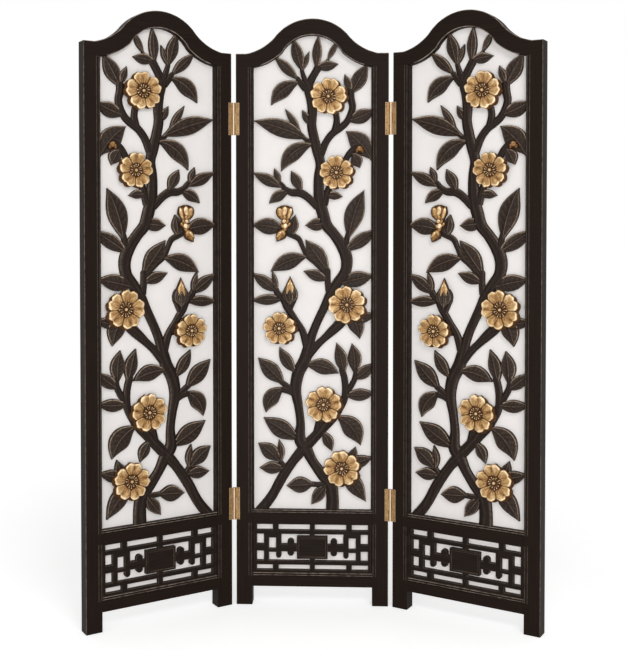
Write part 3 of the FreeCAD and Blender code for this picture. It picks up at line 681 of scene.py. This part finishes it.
def curve_through(run, per_span):
    """Points on a smooth curve through a run of points with widths."""
    spots = [Vector(spot) for spot in run]
    ends = [2 * spots[0] - spots[1]] + spots + [2 * spots[-1] - spots[-2]]
    made = []
    for k in range(1, len(ends) - 2):
        before, here, after, beyond = ends[k - 1:k + 3]
        for place in range(per_span):
            t = place / per_span
            made.append(0.5 * (2 * here + (after - before) * t
                               + (2 * before - 5 * here + 4 * after - beyond) * t * t
                               + (3 * here - before - 3 * after + beyond) * t ** 3))
    made.append(spots[-1])
    return made


STEM_ACROSS = (-1, -0.97, -0.9, -0.78, -0.6, -0.4, -0.2, 0, 0.2, 0.4, 0.6, 0.78, 0.9, 0.97, 1)
STEM_STEPS = 6
STEM_LEAST = 3.0
STEM_END = 0.55
STEM_SIDE = 8.2
STEM_TOP = 14.4
STEM_SLIM_DOME = 1.5
STEM_MOST_DOME = 5.4
DOME_PER_WIDTH = 0.14
DOME_POWER = 3.2
FULL_BARK_WIDTH = 24
BARK_RIDGE = 0.5
BARK_KNOT = 0.7
BARK_WEAR = 0.14
RIDGE_TURN = 7.0
RIDGE_DRIFT = 4.0
STEM_RIM = 0.86
STEM_RIM_SPREAD = 0.09
STEM_RIM_HIGHLIGHT = 0.8


def knots_at(x, z, seed):
    return noise.noise(Vector((x * 0.03, z * 0.016, seed)))


def drift_at(z, seed):
    return noise.noise(Vector((z * 0.010, seed * 3.1, 0.4)))


def stem(shell, run, seed):
    """A branch with a broad front, rounded sides and low ridges of bark along it, paler on the ridges from
    handling and with a painted highlight along its rim on the lit side.
    """
    spots = curve_through(run, STEM_STEPS)
    rows = []
    for place, spot in enumerate(spots):
        ahead = spots[min(place + 1, len(spots) - 1)]
        behind = spots[max(place - 1, 0)]
        way = Vector((ahead.x - behind.x, ahead.y - behind.y)).normalized()
        width = spot.z
        half = max(width, STEM_LEAST) / 2
        if place == len(spots) - 1:
            half *= STEM_END
        dome = min(STEM_MOST_DOME, STEM_SLIM_DOME + DOME_PER_WIDTH * width)
        bark = BARK_RIDGE * min(1.0, width / FULL_BARK_WIDTH)
        row = []
        for v in STEM_ACROSS:
            x = spot.x - way.y * v * half
            z = max(spot.y + way.x * v * half, UPPER_FLOOR)
            ridge = math.sin(RIDGE_TURN * v + RIDGE_DRIFT * drift_at(z, seed))
            inner = 1 - v * v
            height = STEM_SIDE + dome * (1 - abs(v) ** DOME_POWER)
            height += (bark * ridge + BARK_KNOT * knots_at(x, z, seed)) * inner
            outward = Vector((-way.y, way.x)) * (1 if v > 0 else -1)
            lit = step(-0.3, 0.9, outward.dot(LIT_SIDE))
            rim = hump(abs(v), STEM_RIM, STEM_RIM_SPREAD)
            # The rim on the lit side gets a painted highlight; the bark ridges are paler from handling.
            wear_and_highlight = BARK_WEAR * step(0.5, 1.0, ridge) * inner + STEM_RIM_HIGHLIGHT * rim * lit
            row.append((clamp(x, -OPENING_HALF, OPENING_HALF), CARVING_BACK - min(height, STEM_TOP), z,
                        wear_and_highlight, DARK_TONE))
        rows.append(row)
    shell.relief(rows, CARVING_BACK)


LEAF_ACROSS = (-1, -0.96, -0.92, -0.87, -0.82, -0.74, -0.6, -0.42, -0.24, -0.11, -0.045, 0,
               0.045, 0.11, 0.24, 0.42, 0.6, 0.74, 0.82, 0.87, 0.92, 0.96, 1)
LEAF_ROWS = 25
PETIOLE_HALF = 3.0
TIP_HALF = 0.35
FULL_RELIEF_HALF = 11
LEAF_HEIGHT = 11.2
LEAF_TOP = 14.8
LEAF_ARCH = 1.2
LEAF_LEAN = 2.8
LEAF_CURL = 2.0
LEAF_HOLLOW = 2.1
LEAF_WAVE = 0.55
WAVES_ALONG = 8
RIB_HALF = 0.9
RIB_HEIGHT = 0.7
RIB_WEAR = 0.34
VEIN_TURN = 50
VEIN_SLANT = 0.13
VEIN_HEIGHT = 0.22
VEIN_WEAR = 0.06
LEAF_RIM_INSET = 2.3
LEAF_RIM_SPREAD = 1.2
LEAF_RIM_DROP = 1.0
LEAF_RIM_HIGHLIGHT = 0.9
SHADED_RIM = 0.06
LIT_FACE_SHEEN = 0.03


def leaf_half(u, width):
    """Half a leaf's width at the share u of its length."""
    half = width / 2 * math.sin(math.pi * u ** 1.03) ** 1.08 if 0 < u < 1 else 0.0
    return max(half, TIP_HALF if u > 0.5 else PETIOLE_HALF)


def leaf(shell, base, tip, width, bow, seed, lift=0.0):
    """A pointed leaf, hollow on both sides of a raised rib, with a raised rim; rib and veins are paler from
    handling, the rim on the lit side has a painted highlight and the lit half a painted sheen.
    """
    start, end = Vector(base), Vector(tip)
    along = end - start
    normal = Vector((-along.y, along.x)).normalized()
    lean = LEAF_LEAN * (share_of(seed, 1) - 0.5)
    curl = LEAF_CURL * (share_of(seed, 2) - 0.6)
    wave = WAVE_RANGE * share_of(seed, 3)
    rows = []
    for place in range(LEAF_ROWS):
        u = place / (LEAF_ROWS - 1)
        spine = start + along * u + normal * (4 * bow * u * (1 - u))
        way = (along + normal * (4 * bow * (1 - 2 * u))).normalized()
        side = Vector((-way.y, way.x))
        half = leaf_half(u, width)
        full = min(1.0, half / FULL_RELIEF_HALF)
        row = []
        for v in LEAF_ACROSS:
            edge = abs(v)
            spot = spine + side * (v * half)
            rib = hump(v * half, 0, RIB_HALF) * (1 - u) ** 0.25
            veins = math.sin((u - VEIN_SLANT * edge) * VEIN_TURN) * math.sin(math.pi * edge)
            veins *= step(0.1, 0.3, u)
            hollow = LEAF_HOLLOW * math.sin(math.pi * min(1.0, edge * 1.04)) ** 0.8
            height = LEAF_HEIGHT + lift + LEAF_ARCH * math.sin(math.pi * u) + curl * (u - 0.4) ** 2 * 4
            height += full * (lean * v - hollow + VEIN_HEIGHT * veins + RIB_HEIGHT * rib)
            height += full * LEAF_WAVE * edge * math.sin(WAVES_ALONG * u + wave)
            height -= full * LEAF_RIM_DROP * step(0.95, 1.0, edge)
            # facing picks the lit side: the rim there gets a painted highlight and the lit half a painted
            # sheen.
            facing = step(-0.5, 0.7, (side * (1 if v > 0 else -1)).dot(LIT_SIDE))
            rim = hump((1 - edge) * half, LEAF_RIM_INSET, LEAF_RIM_SPREAD) * full
            rim *= SHADED_RIM + (1 - SHADED_RIM) * facing
            wear_and_highlight = RIB_WEAR * rib + LEAF_RIM_HIGHLIGHT * rim + VEIN_WEAR * max(0.0, veins)
            wear_and_highlight += LIT_FACE_SHEEN * facing * step(0.15, 0.6, edge)
            row.append((clamp(spot.x, -OPENING_HALF, OPENING_HALF),
                        CARVING_BACK - min(height, LEAF_TOP + lift), spot.y, min(1.0, wear_and_highlight), DARK_TONE))
        rows.append(row)
    shell.relief(rows, CARVING_BACK)


PETALS = 5
PETAL_STEP = 2 * math.pi / PETALS
PETAL_HALF_ANGLE = 0.70
PETAL_ACROSS = [k / 16 for k in range(-16, 17)]
PETAL_ROWS = 17
PETAL_FOOT = 0.10
PETAL_STROKES = (-0.55, -0.18, 0.18, 0.55)
# Heights of a petal and how deep its hollows are
PETAL_LEAST = 0.2
PETAL_MOST = 8.4
PETAL_RISE = 5.6
LOBE_RISE = 1.7
RIM_ROLL = 1.6
CLEFT_DEPTH = 3.2
STROKE_DEPTH = 0.7
GROOVE_DEPTH = 1.1
PETAL_LEAN = 0.9
RUFFLE_HEIGHT = 0.5
RUFFLE_REACH = 0.014
# Tones of a petal, from brown at 0 to pale gold at 1, and how much each feature adds or takes
PETAL_WALL_TONE = 0.10
PETAL_FOOT_TONE = 0.31
BLADE_TONE = 0.25
LOBE_TONE = 0.08
STROKE_TONE = 0.26
GROOVE_TONE = 0.26
CLEFT_TONE = 0.62
RIM_GLINT = 0.46
MOTTLE_TONE = 0.10
EDGE_TONE = 0.22
PETAL_TONE_RANGE = 0.16
PETAL_SHIFT = (-3.0, 1.2)
BROWN_SHADE_SHIFT = (5.6, -2.4)
BROWN_SHADE_POINTS = 100
# Rings of the brown block from the back to the front: depth, share of its width and tone
BROWN_SHADE_RINGS = ((FLOWER_BACK, 0.96, 0.03), (9.2, 0.985, 0.12), (6.6, 0.975, 0.20), (6.0, 0.93, 0.14))


def petal_reach(t):
    """How far a petal's rim stands out, across its width from -1 to 1."""
    return 0.99 - 0.29 * abs(t) ** 3 - 0.085 * hump(t, 0, 0.17)


def petal(shell, middle, radius, angle, seed):
    """A petal of two lobes with a rolled rim, brown strokes from its foot and a cleft at each side."""
    rows = []
    ruffle = WAVE_RANGE * share_of(seed, 4)
    tone = PETAL_TONE_RANGE * (share_of(seed, 9) - 0.5)
    for place in range(PETAL_ROWS):
        s = place / (PETAL_ROWS - 1)
        row = []
        for t in PETAL_ACROSS:
            edge = abs(t)
            turn = angle - t * PETAL_HALF_ANGLE * (0.74 + 0.26 * min(1.0, 1.6 * s))
            reach = petal_reach(t) + RUFFLE_REACH * math.sin(15 * t + ruffle)
            r = radius * (PETAL_FOOT + (reach - PETAL_FOOT) * s)
            stroke = max(hump(t, line, 0.06) for line in PETAL_STROKES)
            stroke *= step(0.15, 0.32, s) * (1 - step(0.5, 0.8 - 0.25 * edge, s))
            swell = math.sin(math.pi * min(1.0, edge * 1.05)) * s
            groove = hump(t, 0, 0.10) * step(0.42, 0.7, s)
            height = 0.4 + PETAL_RISE * math.sin(1.75 * s ** 0.9) + LOBE_RISE * swell
            height -= RIM_ROLL * step(0.88, 1.0, s) + CLEFT_DEPTH * edge ** 4 * (0.35 + 0.65 * s)
            height -= STROKE_DEPTH * stroke + GROOVE_DEPTH * groove
            height += PETAL_LEAN * t * s + RUFFLE_HEIGHT * math.sin(6 * t + ruffle) * s ** 3
            # Painted light in the tone: the lobes' swell and the glint near the rim are painted highlights;
            # the darker foot, clefts and outer edge are partly brown and partly painted shade; the strokes,
            # groove and mottle are the petal's own colour.
            crest = PETAL_FOOT_TONE + BLADE_TONE * step(0.22, 0.5, s) + (0.06 + tone) * s + LOBE_TONE * swell
            crest -= STROKE_TONE * stroke + GROOVE_TONE * groove
            crest -= CLEFT_TONE * step(0.80, 0.95, edge) * (0.6 + 0.4 * s)
            crest += RIM_GLINT * hump(s, 0.93, 0.045) * (1 - step(0.74, 0.95, edge))
            crest += MOTTLE_TONE * math.sin(9 * t + 5 * s + ruffle) * step(0.4, 0.7, s)
            crest -= EDGE_TONE * step(0.96, 1.0, s)
            row.append((middle[0] + PETAL_SHIFT[0] + r * math.cos(turn),
                        CARVING_FRONT - clamp(height, PETAL_LEAST, PETAL_MOST),
                        middle[1] + PETAL_SHIFT[1] + r * math.sin(turn), 0.0, clamp(crest)))
        rows.append(row)
    shell.relief(rows, FLOWER_BACK, PETAL_WALL_TONE)


def brown_shade_block(shell, middle, radius, first):
    """The brown block under the petals, cut to the same lobes and standing a little to one side, so that it
    shows as a dark band beside them: partly the carving's brown ground, partly painted shade.
    """
    lobes = []
    for k in range(BROWN_SHADE_POINTS):
        angle = 2 * math.pi * k / BROWN_SHADE_POINTS
        t = (((angle - first) / PETAL_STEP + 0.5) % 1.0 - 0.5) * PETAL_STEP / PETAL_HALF_ANGLE
        reach = radius * petal_reach(t)
        lobes.append((math.cos(angle) * reach, math.sin(angle) * reach))
    centre_x, centre_z = middle[0] + BROWN_SHADE_SHIFT[0], middle[1] + BROWN_SHADE_SHIFT[1]
    shell.ring_stack([[(centre_x + x * share, y, centre_z + z * share, 0.0, tone) for x, z in lobes]
                      for y, share, tone in BROWN_SHADE_RINGS])


BALL_LEVELS = (-80, -48, -16, 16, 48, 80)
BALL_AROUND = 10


def ball(shell, centre, radius, tone, stretch=1.0):
    """A small round bead with its poles to the front and the back."""
    rings = []
    for angle in BALL_LEVELS:
        level, reach = math.sin(math.radians(angle)), math.cos(math.radians(angle))
        ring = []
        for k in range(BALL_AROUND):
            turn = 2 * math.pi * k / BALL_AROUND
            # The bead's front is painted paler than its back: a painted highlight.
            ring.append((centre[0] + radius * reach * math.cos(turn), centre[1] - radius * stretch * level,
                         centre[2] + radius * reach * math.sin(turn), 0.0,
                         tone * (0.65 + 0.35 * max(0.0, level))))
        rings.append(ring)
    shell.ring_stack(rings)


STAMENS = 13
STAMEN_TONE = 0.74
STAMEN_SIDES = 6
SEEDS = 10
SEED_RING = 6.3
KNOB_DEPTH, BEAD_DEPTH, SEED_DEPTH = 4.6, 5.6, 7.6


def stamens(shell, middle, radius, seed):
    """A ring of bent stamens with knobs round a bead, and a ring of small seeds at its foot."""
    x, z = middle[0] + PETAL_SHIFT[0], middle[1] + PETAL_SHIFT[1]
    for k in range(STAMENS):
        angle = 2 * math.pi * (k + 0.3 * share_of(seed, k)) / STAMENS
        reach = radius * (0.24 + 0.12 * share_of(seed, k + 40))
        across = Vector((-math.sin(angle), math.cos(angle)))
        rings = []
        # Each ring of a stamen has its distance from the middle, its depth and its half thickness
        for r, y, thick in ((0.14 * radius, 8.0, 0.7), (0.6 * reach, 6.2, 0.65), (reach, 5.0, 0.6)):
            ring = []
            for corner in range(STAMEN_SIDES):
                bend = 2 * math.pi * corner / STAMEN_SIDES
                ring.append((x + r * math.cos(angle) + across.x * thick * math.cos(bend),
                             y - thick * math.sin(bend),
                             z + r * math.sin(angle) + across.y * thick * math.cos(bend), 0.0, STAMEN_TONE))
            rings.append(ring)
        shell.ring_stack(rings)
        knob = (x + reach * math.cos(angle), KNOB_DEPTH, z + reach * math.sin(angle))
        ball(shell, knob, radius=1.6, tone=1.0)
    ball(shell, (x, BEAD_DEPTH, z), radius=5.0, tone=0.86, stretch=0.8)
    for k in range(SEEDS):
        angle = 2 * math.pi * k / SEEDS
        place = (x + SEED_RING * math.cos(angle), SEED_DEPTH, z + SEED_RING * math.sin(angle))
        ball(shell, place, radius=1.2, tone=0.35)


BUD_RINGS = 9
BUD_AROUND = 28
BUD_FOLDS = 5
FOLD_HEIGHT = 0.35
FOLD_TONE = 0.13
GLINT_TONE = 0.34
SEAM_TONE = 0.03
BUD_FOOT_TONE = 0.05


def bud_petal(shell, x, z, half_x, half_z, lean, tall, tone, pointed=0.0):
    """A closed petal of a bud: a leaning dome, pale on its crown and brown in the seam round it, partly
    painted shade, with a painted highlight on its lit side.
    """
    lean = math.radians(lean)
    ahead, aside = Vector((-math.sin(lean), math.cos(lean))), Vector((math.cos(lean), math.sin(lean)))
    centre = shell.point(x, CARVING_FRONT - tall, z, 0.0, tone)
    loops = []
    for place in range(1, BUD_RINGS + 1):
        r = place / BUD_RINGS
        loop = []
        for k in range(BUD_AROUND):
            angle = 2 * math.pi * k / BUD_AROUND
            wide = half_x * (1 - 0.8 * pointed * r * max(0.0, math.sin(angle)))
            spot = aside * (math.cos(angle) * wide * r) + ahead * (math.sin(angle) * half_z * r)
            fold = math.cos(BUD_FOLDS * math.cos(angle) * r)
            height = tall * math.sqrt(1 - 0.9 * r * r) + FOLD_HEIGHT * fold * (1 - r * r)
            # glint is a painted highlight on the side towards the light; the folds are stripes of the bud's
            # own colour.
            glint = hump(r, 0.62, 0.14) * max(0.0, spot.normalized().dot(LIT_SIDE))
            crest = tone * (1 - 0.8 * step(0.6, 0.95, r)) + GLINT_TONE * glint + FOLD_TONE * fold
            loop.append(shell.point(x + spot.x, CARVING_FRONT - height, z + spot.y, 0.0,
                                    clamp(crest, SEAM_TONE)))
        loops.append(loop)
    loops.append([shell.point(shell.points[spot][0], FLOWER_BACK, shell.points[spot][2], 0.0, BUD_FOOT_TONE)
                  for spot in loops[-1]])
    for k in range(BUD_AROUND):
        after = (k + 1) % BUD_AROUND
        shell.faces.append((centre, loops[0][k], loops[0][after]))
        for inner, outer in zip(loops, loops[1:]):
            shell.faces.append((inner[k], outer[k], outer[after], inner[after]))
    shell.faces.append(tuple(loops[-1]))


stems, leaves, petals, middles, buds = Shell(), Shell(), Shell(), Shell(), Shell()
for seed, run in enumerate(BRANCHES):
    stem(stems, run, seed)
for seed, entry in enumerate(LEAVES):
    leaf(leaves, *entry, seed)
for number, (x, z, radius, turn) in enumerate(FLOWERS):
    first = math.radians(turn)
    for k in range(PETALS):
        petal(petals, (x, z), radius, first + k * PETAL_STEP, PETALS * number + k)
    brown_shade_block(petals, (x, z), radius, first)
    stamens(middles, (x, z), radius, number)
for entry in BUD_PETALS:
    bud_petal(buds, *entry)
for base, tip, width, bow in SEPALS:
    leaf(leaves, base, tip, width, bow, base[0] + tip[0], SEPAL_LIFT)

for panel in PANELS:
    flipped = panel == "left"
    placed(beads, panel + "_bead_mouldings", panel, BEAD_WOOD, [panel + "_beading"])
    placed(reeds, panel + "_reed_mouldings", panel, FRAME_WOOD, [panel + "_beading"])
    placed(stems, panel + "_stems", panel, STEM_WOOD, [panel + "_branch_carving"], flipped)
    placed(leaves, panel + "_leaves", panel, CARVED_WOOD, [panel + "_branch_carving"], flipped)
    placed(petals, panel + "_petals", panel, GILT_WOOD, [panel + "_flowers"], flipped)
    placed(middles, panel + "_stamens", panel, GILT_WOOD, [panel + "_flower_centres"], flipped)
    placed(buds, panel + "_bud_heads", panel, GILT_WOOD, [panel + "_buds"], flipped)

# Studio, in metres: a pale floor, a white surround, three soft lamps and the photo's camera
WHITE = (1, 1, 1, 1)
FLOOR_GREY = (0.80, 0.80, 0.80, 1)
FLOOR_HALF = 40
SURROUND_LIGHT = 0.38
SURROUND_SHOWN = 1.0


def shown(tree):
    """1 for rays from the camera and for those that a surface mirrors or lets through, else 0."""
    path = tree.nodes.new("ShaderNodeLightPath")
    share = path.outputs["Is Camera Ray"]
    for kind in ("Is Glossy Ray", "Is Transmission Ray"):
        larger = tree.nodes.new("ShaderNodeMath")
        larger.operation = "MAXIMUM"
        tree.links.new(share, larger.inputs[0])
        tree.links.new(path.outputs[kind], larger.inputs[1])
        share = larger.outputs[0]
    return share


def floor_paint():
    """Pale floor that takes shadows and shows as white, with more glow far from the lamps."""
    paint = Paint("studio_floor")
    matt = paint.add("BsdfDiffuse", {"Color": FLOOR_GREY})
    place = paint.add("NewGeometry").outputs["Position"]
    apart = paint.add("VectorMath", {0: place}, operation="LENGTH").outputs["Value"]
    level = paint.span(apart, low=1.0, high=2.6, out_low=0.56, out_high=0.72)
    strength = paint.joined("MULTIPLY", shown(paint.tree), level)
    glow = paint.add("Emission", {"Color": WHITE, "Strength": strength})
    both = paint.add("AddShader", {0: matt.outputs[0], 1: glow.outputs[0]})
    output = paint.add("OutputMaterial")
    paint.tree.links.new(both.outputs[0], output.inputs["Surface"])
    return paint.material


def studio_floor():
    mesh = bpy.data.meshes.new("studio_floor")
    corners = [(x * FLOOR_HALF, y * FLOOR_HALF, 0) for x, y in ((-1, -1), (1, -1), (1, 1), (-1, 1))]
    mesh.from_pydata(corners, [], [(0, 1, 2, 3)])
    mesh.materials.append(floor_paint())
    sheet = bpy.data.objects.new("studio_floor", mesh)
    bpy.context.scene.collection.objects.link(sheet)


def studio_world():
    """A surround that lights the screen softly and shows as white."""
    world = bpy.data.worlds.new("studio")
    bpy.context.scene.world = world
    world.use_nodes = True
    tree = world.node_tree
    tree.nodes.clear()
    choice = tree.nodes.new("ShaderNodeMixShader")
    tree.links.new(shown(tree), choice.inputs[0])
    for place, strength in ((1, SURROUND_LIGHT), (2, SURROUND_SHOWN)):
        background = tree.nodes.new("ShaderNodeBackground")
        background.inputs["Color"].default_value = WHITE
        background.inputs["Strength"].default_value = strength
        tree.links.new(background.outputs[0], choice.inputs[place])
    output = tree.nodes.new("ShaderNodeOutputWorld")
    tree.links.new(choice.outputs[0], output.inputs["Surface"])


def softbox(name, place, target, side, power):
    light = bpy.data.lights.new(name, "AREA")
    light.shape = "SQUARE"
    light.size = side
    light.energy = power
    lamp = bpy.data.objects.new(name, light)
    lamp.location = place
    lamp.rotation_euler = (Vector(target) - Vector(place)).to_track_quat("-Z", "Y").to_euler()
    bpy.context.scene.collection.objects.link(lamp)


CAMERA_PLACE = (0.1354, -3.1263, 1.2057)
CAMERA_TURN = math.radians(2.535)
CAMERA_DIP = math.radians(1.35)
CAMERA_SHIFT = -0.124
FOCAL_LENGTH = 57.93
SENSOR_WIDTH = 36


def studio_camera():
    lens = bpy.data.cameras.new("camera")
    lens.lens = FOCAL_LENGTH
    lens.sensor_width = SENSOR_WIDTH
    lens.shift_y = CAMERA_SHIFT
    camera = bpy.data.objects.new("camera", lens)
    camera.location = CAMERA_PLACE
    level = math.cos(CAMERA_DIP)
    aim = Vector((-math.sin(CAMERA_TURN) * level, math.cos(CAMERA_TURN) * level, -math.sin(CAMERA_DIP)))
    camera.rotation_euler = aim.to_track_quat("-Z", "Y").to_euler()
    bpy.context.scene.collection.objects.link(camera)
    bpy.context.scene.camera = camera


studio_floor()
studio_world()
softbox("key", place=(1.3, -3.4, 3.0), target=(0, 0, 0.9), side=1.4, power=50)
softbox("front", place=(0.1, -3.6, 0.8), target=(0, 0, 0.6), side=1.6, power=58)
softbox("fill", place=(-2.6, -3.2, 1.2), target=(0, 0, 0.8), side=2.2, power=20)
studio_camera()
bpy.context.scene.view_settings.view_transform = "Standard"
